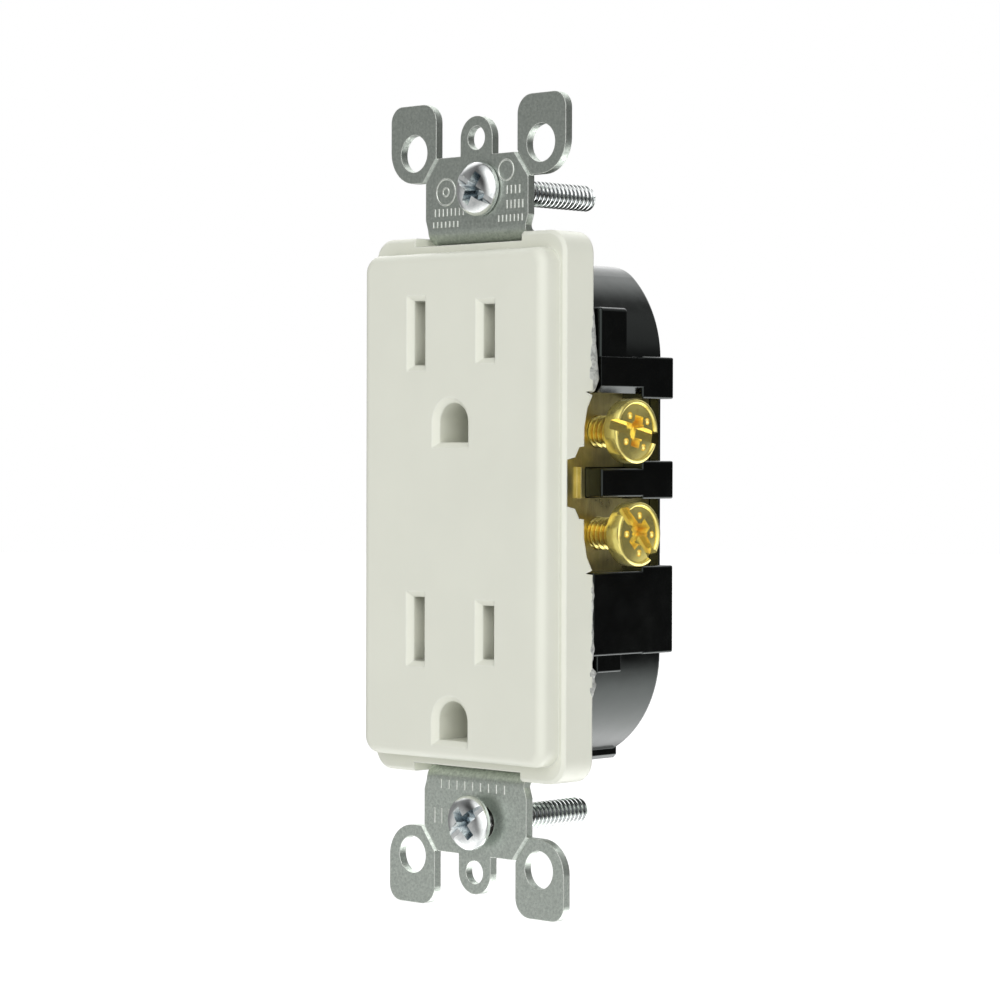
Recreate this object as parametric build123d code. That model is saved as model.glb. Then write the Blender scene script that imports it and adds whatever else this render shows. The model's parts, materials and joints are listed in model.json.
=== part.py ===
from build123d import *
from math import sqrt
import os

# Duplex wall outlet, rectangular face, 15 A, with side screws and push-in terminals.
# Frame: front of the device looks along -Y, +X is its right side, +Z is up.
# Origin: centre of the device on the rear face of the mounting strap.
# Lengths are in millimetres.

# ---- Mounting strap --------------------------------------------------------------
STRAP_T = 1.2
STRAP_BODY_HALF_W = 9.35
STRAP_BODY_END_Z = 46.15
STRAP_NECK_HALF_W = 8.9
EAR_IN_X = 7.45
EAR_OUT_X = 15.95
EAR_END_Z = 53.5
EAR_ROOT_Z = 43.05
EAR_HOLE_X = 11.6
EAR_HOLE_Z = 47.07
EAR_HOLE_R = 2.5
SCORE_DEPTH = 0.35
PLATE_HOLE_Z = 48.42
PLATE_HOLE_R = 1.57
TAB_R = 2.9
BOX_SCREW_Z = 41.65
BOX_SLOT_LENGTH = 7.2
BOX_SLOT_WIDTH = 4.5
JOG_Z = 35.25
JOG_BEND_R = 1.35
SPINE_FRONT_Y = 2.6
SPINE_REAR_Y = SPINE_FRONT_Y + STRAP_T
SPINE_END_Z = 33.9
SPINE_HALF_W = 3.4
GROUND_PAD_R = 5.1
GROUND_PASS_R = 3.3
RIVET_R = 1.0
RIVET_CLEARANCE = 0.03

# ---- Outlets: blade slots and ground holes ---------------------------------------
OUTLET_Z = (22.78, -16.32)
GROUND_Z = (10.94, -28.16)
RIVET_Z = (3.9, -21.1)
BLADE_X = 6.35
SLOT_W = 2.0
NEUTRAL_SLOT_H = 8.5
HOT_SLOT_H = 7.0
SLOT_LEAD_IN = 0.75
GROUND_HOLE_R = 2.6
GROUND_LEAD_IN = 0.75

# ---- Front cover -----------------------------------------------------------------
FACE_HALF_W = 16.5
FACE_HALF_H = 33.3
FACE_CORNER_R = 2.3
FACE_FRONT_Y = -6.0
FACE_EDGE_R = 1.3
FACE_WALL = 2.9
FLANGE_HALF_W = 17.4
FLANGE_HALF_H = 35.6
FLANGE_CORNER_R = 3.0
FLANGE_FRONT_Y = -2.8
FLANGE_CHAMFER = 0.4
NOTCH_HALF_W = 9.75
LEDGE_H = 1.1
LEDGE_REAR_Y = 1.7
CAVITY_HALF_W = 13.6
CAVITY_HALF_H = 31.8
TUNNEL_WALL = 1.2

# ---- Rear body -------------------------------------------------------------------
BODY_FRONT_Y = SPINE_FRONT_Y
BODY_BACK_Y = 19.0
BODY_R = 15.0
BODY_ARC_Z = 19.5
BODY_TOP_Z = 32.1
BODY_TOP_CORNER_R = 6.0
BODY_BOTTOM_Z = -32.8
BODY_WALL = 1.6
BAR_X = 17.0
BAR_STEP_Y = 12.8
BAR_EDGE_R = 0.25
RIDGE_W = 7.0

# ---- Terminals -------------------------------------------------------------------
TERMINAL_MID_Z = 3.15
SCREW_PITCH_Z = 13.3
SCREW_Z = (TERMINAL_MID_Z + SCREW_PITCH_Z / 2, TERMINAL_MID_Z - SCREW_PITCH_Z / 2)
SCREW_Y = 8.1
TERMINAL_X = 13.4
TERMINAL_T = 0.8
TERMINAL_REAR_Y = 18.2
TERMINAL_FRONT_Y = 0.9
TERMINAL_TOP_Z = 18.2
TERMINAL_BOTTOM_Z = -11.9
LINK_HALF_H = 3.1
LINK_FRONT_Y = -1.9
LINK_REAR_Y = 4.75
LIP_OUT = 0.7
SCREW_R = 2.1
SCREW_CLEARANCE = 0.05
SCREW_HEAD_R = 4.2
SCREW_HEAD_T = 2.4
SCREW_OUT = (4.4, 4.9)
SCREW_LENGTH = 6.9
RECESS_TOP_Z = 14.2
RECESS_BOTTOM_Z = -7.85
MIDDLE_BAR = (1.0, 6.0)
MIDDLE_BAR_FRONT = (1.3, 5.0)
LINK_WINDOW_HALF_H = 2.0

# ---- Blade contacts and push-in clips --------------------------------------------
BLADE_GAP = 1.5
LEAF_T = 0.6
LEAF_HALF_H = 3.2
LEAF_FRONT_Y = 1.8
ARM_Y = 13.0
ARM_T = 0.8
WIRE_HOLE_X = 11.35
WIRE_HOLE_R = 1.05
WIRE_HOLE_Z = (15.2, -8.9)
RELEASE_X = 9.4
CLIP_T = 0.4
CLIP_HALF_H = 1.6

# ---- Ground path -----------------------------------------------------------------
GROUND_CONTACT_T = 0.6
GROUND_GRIP_X = 2.4
GROUND_FINGER_END_Y = 12.6
GROUND_TAB_Z = -27.0
GROUND_TAB_HALF_H = 3.2
GROUND_TAB_X = -12.2
GROUND_TAB_REAR_Y = 14.0
GROUND_SCREW_Y = 9.2
GROUND_SCREW_OUT = 2.6
GROUND_SCREW_LENGTH = 5.6
GROUND_HEX_ACROSS = 7.6

# ---- Shutters --------------------------------------------------------------------
SHUTTER_FRONT_Y = -2.8
SHUTTER_REAR_Y = -0.7
SHUTTER_LEFT_X = -7.75
SHUTTER_RIGHT_X = 8.2
SHUTTER_HALF_H = 4.8
SHUTTER_WINDOW = (2.5, 4.95)
SHUTTER_STEP = 1.3
SHUTTER_RAMP = 2.8
FRAME_FRONT_Y = FACE_FRONT_Y + FACE_WALL
FRAME_PLATE_Y = (-0.5, 0.5)
FRAME_STOP_X = 12.6
SPRING_Y = -1.8
SPRING_R = 1.0
SPRING_WIRE_R = 0.15
SPRING_TURNS = 6

# ---- Box mounting screws ---------------------------------------------------------
BOX_SCREW_R = 1.75
BOX_SCREW_NECK_R = 1.55
BOX_SCREW_NECK = 5.4
BOX_SCREW_HEAD_R = 3.66
BOX_SCREW_HEAD_T = 1.9
BOX_SCREW_LENGTH = 21.4
BOX_SCREW_X = 0.7
BOX_SCREW_FORWARD = (0.0, 1.3)
WASHER_R = 3.6
WASHER_T = 0.8
WASHER_BEHIND = 3.0

ENDS = (1, -1)
FIT = 0.15


# ---- Small helpers ---------------------------------------------------------------
def block(x_range, y_range, z_range):
    """Box between three (low, high) ranges, given in any order."""
    lows = [min(span) for span in (x_range, y_range, z_range)]
    highs = [max(span) for span in (x_range, y_range, z_range)]
    sizes = [high - low for low, high in zip(lows, highs)]
    middles = [(high + low) / 2 for low, high in zip(lows, highs)]
    return Pos(*middles) * Box(*sizes)


def soft_block(x_range, y_range, z_range, radius):
    """Box with all its edges rounded."""
    shape = block(x_range, y_range, z_range)
    return fillet(shape.edges(), radius)


def front_plane(y):
    """Plane whose own axes are x and z, seen from the front."""
    return Plane(origin=(0, y, 0), x_dir=(1, 0, 0), z_dir=(0, -1, 0))


def slab(sketch, y_low, y_high):
    """Extrude an (x, z) sketch from y_low to y_high."""
    return extrude(front_plane(y_high) * sketch, amount=y_high - y_low, dir=(0, -1, 0))


def side_slab(sketch, x_a, x_b):
    """Extrude a (y, z) sketch between two x positions."""
    plane = Plane(origin=(min(x_a, x_b), 0, 0), x_dir=(0, 1, 0), z_dir=(1, 0, 0))
    return extrude(plane * sketch, amount=abs(x_b - x_a), dir=(1, 0, 0))


def upright_slab(sketch, z_low, z_high):
    """Extrude an (x, y) sketch from z_low to z_high."""
    return extrude(Pos(0, 0, z_low) * sketch, amount=z_high - z_low, dir=(0, 0, 1))


def rod_y(x, z, radius, y_low, y_high):
    return slab(Pos(x, z) * Circle(radius), y_low, y_high)


def rod_x(y, z, radius, x_a, x_b):
    return side_slab(Pos(y, z) * Circle(radius), x_a, x_b)


def polygon(points):
    """Closed outline whose face looks the same way whichever way its points run."""
    turns = zip(points, points[1:] + points[:1])
    area = sum(a[0] * b[1] - a[1] * b[0] for a, b in turns)
    ordered = points if area > 0 else points[::-1]
    return Polygon(*ordered, align=None)


def rounded(points, corners):
    """Polygon whose listed corners, (point, radius), are rounded."""
    shape = polygon(points)
    for point, radius in corners:
        corner = shape.vertices().sort_by_distance(Vector(*point))[0]
        shape = fillet(corner, radius)
    return shape


def bent_strip(points, radii, width_axis, width, thickness):
    """Sheet strip that follows a bent path; its width runs along width_axis."""
    path = FilletPolyline(*points, radius=radii)
    section = Plane(origin=path @ 0, x_dir=width_axis, z_dir=path % 0)
    return sweep(section * Rectangle(width, thickness), path=path)


def save(shape, node):
    export_step(shape, "parts/" + node + ".step")


# ---- Outlines shared by several pieces -------------------------------------------
def u_hole(grow=0.0):
    """Ground hole: round top, flat bottom."""
    radius = GROUND_HOLE_R + grow
    lower_half = Pos(0, -radius / 2) * Rectangle(2 * radius, radius)
    return Circle(radius) + lower_half


def body_outline():
    """Two round ends joined by straight sides, cut flat at top and bottom."""
    ends = Pos(0, BODY_ARC_Z) * Circle(BODY_R) + Pos(0, -BODY_ARC_Z) * Circle(BODY_R)
    middle = Rectangle(2 * BODY_R, 2 * BODY_ARC_Z)
    window_z = (BODY_TOP_Z + BODY_BOTTOM_Z) / 2
    window = Pos(0, window_z) * Rectangle(4 * BODY_R, BODY_TOP_Z - BODY_BOTTOM_Z)
    outline = (ends + middle) & window
    return fillet(outline.vertices().group_by(Axis.Y)[-1], BODY_TOP_CORNER_R)


def spine_outline(grow=0.0):
    """Middle of the strap, which lies between the cover and the rear body."""
    shape = Rectangle(2 * (SPINE_HALF_W + grow), 2 * SPINE_END_Z)
    for end in ENDS:
        shoulder_z = end * (SPINE_END_Z + CAVITY_HALF_H) / 2
        shoulder_h = SPINE_END_Z - CAVITY_HALF_H + 2 * grow
        shape += Pos(0, shoulder_z) * Rectangle(2 * (STRAP_NECK_HALF_W + grow), shoulder_h)
    for z in GROUND_Z:
        shape += Pos(0, z) * Circle(GROUND_PAD_R + grow)
    return shape


def ground_tab_outline(grow=0.0):
    """Arm that carries the ground screw, before it is bent back."""
    half = GROUND_TAB_HALF_H + grow
    return Pos(GROUND_TAB_X / 2, GROUND_TAB_Z) * Rectangle(abs(GROUND_TAB_X) + grow, 2 * half)


# ---- Mounting strap --------------------------------------------------------------
def plaster_ear(side):
    """Outline of one ear, which overlaps the plate beside it."""
    inner_end = (side * EAR_IN_X, EAR_END_Z)
    outer_end = (side * EAR_OUT_X, EAR_END_Z)
    outer_root = (side * EAR_OUT_X, EAR_ROOT_Z)
    root = (side * (STRAP_BODY_HALF_W - 1.0), EAR_ROOT_Z)
    inner_root = (side * EAR_IN_X, STRAP_BODY_END_Z - 1.0)
    corners = [(inner_end, 2.5), (outer_end, 2.1), (outer_root, 4.4)]
    return rounded([inner_root, inner_end, outer_end, outer_root, root], corners)


def strap_end_outline():
    """Upper end of the strap, seen from the front: plate, ears and centre tab."""
    neck_z = JOG_Z + JOG_BEND_R
    right_edge = [
        (STRAP_NECK_HALF_W, neck_z),
        (STRAP_BODY_HALF_W, neck_z + 1.4),
        (STRAP_BODY_HALF_W, EAR_ROOT_Z + 1.0),
        (EAR_IN_X, STRAP_BODY_END_Z),
    ]
    left_edge = [(-x, z) for x, z in reversed(right_edge)]
    plate = polygon(right_edge + left_edge)
    tab_h = PLATE_HOLE_Z - STRAP_BODY_END_Z + 1.0
    tab = Pos(0, PLATE_HOLE_Z - tab_h / 2) * Rectangle(2 * TAB_R, tab_h)
    tab += Pos(0, PLATE_HOLE_Z) * Circle(TAB_R)
    outline = plate + tab + plaster_ear(1) + plaster_ear(-1)
    slot = Pos(0, BOX_SCREW_Z) * SlotOverall(BOX_SLOT_LENGTH, BOX_SLOT_WIDTH)
    outline -= slot
    outline -= Pos(0, PLATE_HOLE_Z) * Circle(PLATE_HOLE_R)
    for side in ENDS:
        outline -= Pos(side * EAR_HOLE_X, EAR_HOLE_Z) * Circle(EAR_HOLE_R)
    return outline


def score_line(side):
    """V groove that lets an ear be snapped off, on the front of the upper end."""
    start = Vector(side * (EAR_IN_X - 0.4), -STRAP_T, STRAP_BODY_END_Z + 0.2)
    stop = Vector(side * (STRAP_BODY_HALF_W + 0.4), -STRAP_T, EAR_ROOT_Z - 0.2)
    along = (stop - start).normalized()
    plane = Plane(origin=start, x_dir=(0, 1, 0), z_dir=along)
    groove = plane * Rot(0, 0, 45) * Rectangle(SCORE_DEPTH * sqrt(2), SCORE_DEPTH * sqrt(2))
    return extrude(groove, amount=(stop - start).length)


def strap_end():
    """Upper end of the strap with the bend that takes it behind the cover."""
    end = slab(strap_end_outline(), -STRAP_T, 0)
    for side in ENDS:
        end -= score_line(side)
    front_mid = -STRAP_T / 2
    spine_mid = (SPINE_FRONT_Y + SPINE_REAR_Y) / 2
    jog = bent_strip(
        [
            (0, front_mid, JOG_Z + JOG_BEND_R + 0.6),
            (0, front_mid, JOG_Z),
            (0, spine_mid, JOG_Z),
            (0, spine_mid, SPINE_END_Z - 0.6),
        ],
        [JOG_BEND_R, JOG_BEND_R],
        (1, 0, 0),
        2 * STRAP_NECK_HALF_W,
        STRAP_T,
    )
    return end + jog


def ground_tab():
    """Arm of the strap, bent back along the body's left side, with its screw hole."""
    spine_mid = (SPINE_FRONT_Y + SPINE_REAR_Y) / 2
    tab_mid_x = GROUND_TAB_X + STRAP_T / 2
    arm = bent_strip(
        [
            (0, spine_mid, GROUND_TAB_Z),
            (tab_mid_x, spine_mid, GROUND_TAB_Z),
            (tab_mid_x, GROUND_TAB_REAR_Y, GROUND_TAB_Z),
        ],
        [JOG_BEND_R],
        (0, 0, 1),
        2 * GROUND_TAB_HALF_H,
        STRAP_T,
    )
    hole_r = SCREW_R + SCREW_CLEARANCE
    return arm - rod_x(GROUND_SCREW_Y, GROUND_TAB_Z, hole_r, GROUND_TAB_X - 1, GROUND_TAB_X + 3)


def mounting_strap():
    upper = strap_end()
    strap = upper + mirror(upper, about=Plane.XY)
    strap += slab(spine_outline(), SPINE_FRONT_Y, SPINE_REAR_Y)
    strap += ground_tab()
    for z in GROUND_Z:
        strap -= rod_y(0, z, GROUND_PASS_R, SPINE_FRONT_Y - 1, SPINE_REAR_Y + 1)
    for z in RIVET_Z:
        strap -= rod_y(0, z, RIVET_R + RIVET_CLEARANCE, SPINE_FRONT_Y - 1, SPINE_REAR_Y + 1)
    return strap


# ---- Front cover -----------------------------------------------------------------
def blade_slot(x, z, height):
    """Blade slot with its lead-in, as a solid to cut away."""
    opening = Pos(x, z) * Rectangle(SLOT_W, height)
    mouth = Pos(x, z) * Rectangle(SLOT_W + 2 * SLOT_LEAD_IN, height + 2 * SLOT_LEAD_IN)
    straight = slab(opening, FACE_FRONT_Y - 1, FACE_FRONT_Y + FACE_WALL + 1)
    inner = front_plane(FACE_FRONT_Y + SLOT_LEAD_IN)
    return straight + loft([front_plane(FACE_FRONT_Y) * mouth, inner * opening])


def ground_hole(z):
    """Ground hole with its lead-in, as a solid to cut away."""
    straight = slab(Pos(0, z) * u_hole(), FACE_FRONT_Y - 1, SPINE_FRONT_Y + 1)
    mouth = front_plane(FACE_FRONT_Y) * Pos(0, z) * u_hole(GROUND_LEAD_IN)
    inner = front_plane(FACE_FRONT_Y + GROUND_LEAD_IN) * Pos(0, z) * u_hole()
    return straight + loft([mouth, inner])


def terminal_cut_out():
    """Stepped, curved opening in the flange that bares the terminals, as (y, z)."""
    mid = TERMINAL_MID_Z
    upper = [
        (4.0, mid + 12.0),
        (1.2, mid + 11.7),
        (2.5, mid + 11.3),
        (1.5, mid + 9.6),
        (0.95, mid + 7.2),
        (0.9, mid + 4.7),
        (0.0, mid + 4.6),
        (-0.8, mid + 3.3),
        (-2.3, mid + 3.0),
    ]
    lower = [(y, 2 * mid - z) for y, z in reversed(upper)]
    corners = [upper[3], upper[4], lower[4], lower[5]]
    return rounded(upper + lower, [(corner, 2.0) for corner in corners])


def front_cover():
    face = slab(RectangleRounded(2 * FACE_HALF_W, 2 * FACE_HALF_H, FACE_CORNER_R), FACE_FRONT_Y, 0)
    face = fillet(face.faces().sort_by(Axis.Y)[0].edges(), FACE_EDGE_R)
    flange_shape = RectangleRounded(2 * FLANGE_HALF_W, 2 * FLANGE_HALF_H, FLANGE_CORNER_R)
    flange = slab(flange_shape, FLANGE_FRONT_Y, SPINE_FRONT_Y)
    flange = chamfer(flange.faces().sort_by(Axis.Y)[0].edges(), FLANGE_CHAMFER)
    cover = face + flange
    cavity_shape = RectangleRounded(2 * CAVITY_HALF_W, 2 * CAVITY_HALF_H, 1.5)
    cover -= slab(cavity_shape, FACE_FRONT_Y + FACE_WALL, SPINE_FRONT_Y + 1)
    for end in ENDS:
        notch_top = end * (FLANGE_HALF_H + 1)
        notch_x = (-NOTCH_HALF_W, NOTCH_HALF_W)
        rear_y = (LEDGE_REAR_Y, SPINE_FRONT_Y + 1)
        cover -= block(notch_x, (FLANGE_FRONT_Y - 1, rear_y[1]), (end * (FACE_HALF_H + LEDGE_H), notch_top))
        cover -= block(notch_x, rear_y, (end * FACE_HALF_H, notch_top))
        cover -= side_slab(terminal_cut_out(), end * (CAVITY_HALF_W - 1), end * (FLANGE_HALF_W + 1))
    for z in GROUND_Z:
        tunnel = Pos(0, z) * u_hole(TUNNEL_WALL)
        cover += slab(tunnel, FACE_FRONT_Y + FACE_WALL - 0.2, SPINE_FRONT_Y - 0.1)
    for z in GROUND_Z:
        cover -= ground_hole(z)
    for z in OUTLET_Z:
        cover -= blade_slot(-BLADE_X, z, NEUTRAL_SLOT_H)
        cover -= blade_slot(BLADE_X, z, HOT_SLOT_H)
    return cover


# ---- Rear body -------------------------------------------------------------------
def side_bars(side):
    """Bars and pads that stand proud of one side of the body, around the screws."""
    inner = side * (BODY_R - 3.0)
    outer = side * BAR_X
    pad = side * (BODY_R + 0.9)
    front_end = BAR_STEP_Y + 1.0
    back = (BAR_STEP_Y, BODY_BACK_Y)
    upper_bar = block((inner, outer), (4.6, front_end), (14.8, 19.5))
    long_edges = upper_bar.edges().filter_by(Axis.Y).group_by(Axis.Z)[0]
    outer_edge = long_edges.sort_by(Axis.X)[-1 if side > 0 else 0]
    bars = chamfer(outer_edge, 0.9)
    front_lower = (-19.3, RECESS_BOTTOM_Z - 0.6)
    bars += soft_block((inner, outer), back, (RECESS_TOP_Z, 19.7), BAR_EDGE_R)
    bars += soft_block((inner, outer), (4.8, front_end), MIDDLE_BAR_FRONT, BAR_EDGE_R)
    bars += soft_block((inner, outer), back, MIDDLE_BAR, BAR_EDGE_R)
    bars += soft_block((inner, outer), (3.2, front_end), front_lower, BAR_EDGE_R)
    bars += soft_block((inner, outer), back, (-19.4, RECESS_BOTTOM_Z), BAR_EDGE_R)
    bars += soft_block((inner, pad), (5.6, 11.1), (18.4, 26.0), 2 * BAR_EDGE_R)
    bars += soft_block((inner, pad), (5.2, 10.0), (-21.6, -18.2), BAR_EDGE_R)
    return bars


def terminal_recess(side):
    """Space around the two side screws, down to the terminal plate."""
    x_span = (side * TERMINAL_X, side * (BAR_X + 1))
    y_span = (BODY_FRONT_Y - 1, TERMINAL_REAR_Y + 0.1)
    upper = block(x_span, y_span, (MIDDLE_BAR[1], RECESS_TOP_Z))
    lower = block(x_span, y_span, (RECESS_BOTTOM_Z, MIDDLE_BAR[0]))
    front = block(x_span, (BODY_FRONT_Y - 1, 4.8), (RECESS_BOTTOM_Z, RECESS_TOP_Z))
    behind_step = (y_span[0], BAR_STEP_Y)
    wide = block(x_span, behind_step, (MIDDLE_BAR_FRONT[1], RECESS_TOP_Z + 0.6))
    wide += block(x_span, behind_step, (RECESS_BOTTOM_Z - 0.6, MIDDLE_BAR_FRONT[0]))
    return upper + lower + front + wide


def contact_cavity(side):
    """Pockets for one contact strip: blade contacts inboard, terminals outboard."""
    near = side * 4.5
    split = side * 8.5
    far = side * TERMINAL_X
    front = BODY_FRONT_Y - 1
    cavity = block((near, split), (front, ARM_Y + ARM_T + 0.1), (-20.6, 27.2))
    cavity += block((split, far), (front, BODY_BACK_Y - BODY_WALL), (-13.4, 19.0))
    plate_slot = (side * (TERMINAL_X - TERMINAL_T - FIT), far)
    slot_z = (TERMINAL_BOTTOM_Z - FIT, TERMINAL_TOP_Z + FIT)
    cavity += block(plate_slot, (front, TERMINAL_REAR_Y + 0.1), slot_z)
    return cavity


def rear_openings(side):
    """Push-in wire holes and the release slots beside them."""
    cuts = Part()
    for z in WIRE_HOLE_Z:
        cuts += rod_y(side * WIRE_HOLE_X, z, WIRE_HOLE_R, BODY_BACK_Y - 3, BODY_BACK_Y + 1)
        release = (side * (RELEASE_X - 0.6), side * (RELEASE_X + 0.6))
        cuts += block(release, (BODY_BACK_Y - 3, BODY_BACK_Y + 1), (z - 1.5, z + 1.5))
    return cuts


def strip_gauge():
    """Shallow groove on the back that shows how much insulation to strip."""
    return slab(Pos(0, -12.0) * SlotOverall(16.0, 2.4, rotation=90), BODY_BACK_Y - 0.6, BODY_BACK_Y + 1)


def rear_body():
    body = slab(body_outline(), BODY_FRONT_Y, BODY_BACK_Y)
    back_edges = body.faces().sort_by(Axis.Y)[-1].edges()
    body = fillet(back_edges, 0.6)
    for side in ENDS:
        body += side_bars(side)
    for side in ENDS:
        body -= terminal_recess(side)
        body -= contact_cavity(side)
        body -= rear_openings(side)
    for z, rivet_z in zip(GROUND_Z, RIVET_Z):
        z_low = max(min(z, rivet_z) - 4.4, BODY_BOTTOM_Z + 1.0)
        z_high = max(z, rivet_z) + 4.4
        body -= block((-3.7, 3.7), (BODY_FRONT_Y - 1, 13.9), (z_low, z_high))
    channel_rear = SPINE_REAR_Y + 0.05
    body -= slab(spine_outline(FIT), BODY_FRONT_Y - 1, channel_rear)
    body -= slab(ground_tab_outline(FIT), BODY_FRONT_Y - 1, channel_rear)
    ground_side = (GROUND_TAB_X + STRAP_T + 1.0, -BODY_R - 1)
    ground_z = (GROUND_TAB_Z - GROUND_TAB_HALF_H - 2.6, GROUND_TAB_Z + GROUND_TAB_HALF_H + 1.2)
    body -= block(ground_side, (BODY_FRONT_Y - 1, GROUND_TAB_REAR_Y + 0.6), ground_z)
    tip_x = (GROUND_TAB_X + STRAP_T, GROUND_TAB_X + 5.8)
    tip_z = (GROUND_TAB_Z - SCREW_R - 0.3, GROUND_TAB_Z + SCREW_R + 0.3)
    body -= block(tip_x, (BODY_FRONT_Y - 1, GROUND_SCREW_Y + SCREW_R + 0.3), tip_z)
    ridge = block((-RIDGE_W, RIDGE_W), (13.0, BODY_BACK_Y), (BODY_BOTTOM_Z - 1.3, BODY_BOTTOM_Z + 1.0))
    body += chamfer(ridge.edges().filter_by(Axis.Y).group_by(Axis.Z)[0], 0.5)
    return body - strip_gauge()


# ---- Contact strips --------------------------------------------------------------
def blade_contact(side, z):
    """Two leaves that grip one plug blade, with flared mouths."""
    leaves = Part()
    for flank in ENDS:
        inner_x = side * BLADE_X + flank * BLADE_GAP / 2
        outer_x = inner_x + flank * LEAF_T
        span_z = (z - LEAF_HALF_H, z + LEAF_HALF_H)
        leaf = block((inner_x, outer_x), (LEAF_FRONT_Y + 1.0, ARM_Y + ARM_T / 2), span_z)
        mouth_points = [
            (inner_x, LEAF_FRONT_Y + 1.2),
            (outer_x, LEAF_FRONT_Y + 1.2),
            (outer_x + flank * 0.5, LEAF_FRONT_Y),
            (inner_x + flank * 0.5, LEAF_FRONT_Y),
        ]
        leaves += leaf + upright_slab(polygon(mouth_points), *span_z)
    return leaves


def contact_arm(z_contact, z_root):
    """Flat arm from the terminal plate to one blade contact, as an (x, z) outline."""
    away = 1 if z_contact > z_root else -1
    inner_x = BLADE_X - BLADE_GAP / 2 - LEAF_T
    outer_x = BLADE_X + BLADE_GAP / 2 + LEAF_T
    root = (z_root - away * 2.8, z_root + away * 2.8)
    end_z = z_contact + away * LEAF_HALF_H
    return polygon([
        (TERMINAL_X - TERMINAL_T / 2, root[0]),
        (TERMINAL_X - TERMINAL_T / 2, root[1]),
        (outer_x + 0.6, root[1]),
        (outer_x, root[1] + away * 1.5),
        (outer_x, end_z),
        (inner_x, end_z),
        (inner_x, root[1]),
        (inner_x + 2.0, root[0]),
    ])


def right_contact_strip():
    """Strip on the right side: terminal plates, snap-off link, arms and contacts."""
    x_span = (TERMINAL_X - TERMINAL_T, TERMINAL_X)
    strip = block(x_span, (TERMINAL_FRONT_Y, TERMINAL_REAR_Y), (TERMINAL_BOTTOM_Z, TERMINAL_TOP_Z))
    notch_z = (TERMINAL_MID_Z - LINK_WINDOW_HALF_H, TERMINAL_MID_Z + LINK_WINDOW_HALF_H)
    link_z = (TERMINAL_MID_Z - LINK_HALF_H, TERMINAL_MID_Z + LINK_HALF_H)
    strip -= block((0, 20), (TERMINAL_FRONT_Y - 1, TERMINAL_REAR_Y + 1), notch_z)
    strip += block(x_span, (LINK_FRONT_Y, LINK_REAR_Y), link_z)
    lip_x = (TERMINAL_X - TERMINAL_T, TERMINAL_X + LIP_OUT)
    strip += block(lip_x, (LINK_REAR_Y - TERMINAL_T, LINK_REAR_Y), notch_z)
    for z in SCREW_Z:
        strip -= rod_x(SCREW_Y, z, SCREW_R + SCREW_CLEARANCE, TERMINAL_X - 3, TERMINAL_X + 3)
    for z_contact, z_root in zip(OUTLET_Z, (SCREW_Z[0], SCREW_Z[1])):
        strip += slab(contact_arm(z_contact, z_root), ARM_Y, ARM_Y + ARM_T)
        strip += blade_contact(1, z_contact)
    return strip


def push_in_clips(side):
    """Bent spring strips that bite a wire pushed in from the back, one per hole."""
    clips = []
    for z in WIRE_HOLE_Z:
        clips.append(
            bent_strip(
                [
                    (side * 8.8, 8.8, z),
                    (side * 8.8, 16.9, z),
                    (side * 9.9, 16.9, z),
                    (side * 10.7, 10.2, z),
                ],
                [0.5, 0.5],
                (0, 0, 1),
                2 * CLIP_HALF_H,
                CLIP_T,
            )
        )
    return Compound(children=clips)


# ---- Ground path -----------------------------------------------------------------
def ground_contact(z, rivet_z):
    """Plate riveted to the strap, with two fingers that grip the ground pin."""
    front = SPINE_REAR_Y
    rear = front + GROUND_CONTACT_T
    away = 1 if rivet_z > z else -1
    length = abs(rivet_z - z) + 2.2 + GROUND_PASS_R
    centre_z = z + away * (length / 2 - GROUND_PASS_R)
    plate = Pos(0, centre_z) * Rectangle(2 * (GROUND_GRIP_X + GROUND_CONTACT_T), length)
    plate += Pos(0, z) * Circle(GROUND_PASS_R + 0.35)
    contact = slab(plate, front, rear)
    contact -= rod_y(0, z, GROUND_GRIP_X + 0.1, front - 1, rear + 1)
    contact -= rod_y(0, rivet_z, RIVET_R + RIVET_CLEARANCE, front - 1, rear + 1)
    for side in ENDS:
        x_span = (side * GROUND_GRIP_X, side * (GROUND_GRIP_X + GROUND_CONTACT_T))
        contact += block(x_span, (front, GROUND_FINGER_END_Y), (z - 2.0, z + 2.0))
    box_hole = Pos(0, z - 0.45) * Rectangle(2 * GROUND_GRIP_X, 4.1)
    return contact - slab(box_hole, front - 1, rear + 1)


def ground_rivets():
    """Rivets that fix the two ground contacts to the strap."""
    rivets = []
    for z in RIVET_Z:
        front = SPINE_FRONT_Y
        rear = SPINE_REAR_Y + GROUND_CONTACT_T
        rivet = rod_y(0, z, RIVET_R, front - 0.4, rear + 0.4)
        rivet += rod_y(0, z, 1.8, front - 0.7, front)
        rivet += rod_y(0, z, 1.6, rear, rear + 0.7)
        rivets.append(rivet)
    return Compound(children=rivets)


# ---- Screws ----------------------------------------------------------------------
def screw_recess(radius, depth, slot_w):
    """Straight slot crossed by a shorter one, cut into a head whose top is at z = 0."""
    long_slot = Pos(0, 0, -depth / 2) * Box(2 * radius + 1, slot_w, depth)
    cross = Pos(0, 0, -depth / 2) * Box(slot_w, radius * 1.15, depth)
    return long_slot + cross


def headed_screw(head_r, head_t, shank_r, length, edge_r):
    """Screw with its head's underside at z = 0 and its shank pointing down."""
    head = Pos(0, 0, head_t / 2) * Cylinder(head_r, head_t)
    head = fillet(head.faces().sort_by(Axis.Z)[-1].edges(), edge_r)
    head -= Pos(0, 0, head_t) * screw_recess(head_r, 0.55 * head_t, 1.1)
    shank = Pos(0, 0, -length / 2) * Cylinder(shank_r, length)
    shank = chamfer(shank.faces().sort_by(Axis.Z)[0].edges(), 0.35 * shank_r)
    return head + shank


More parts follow.
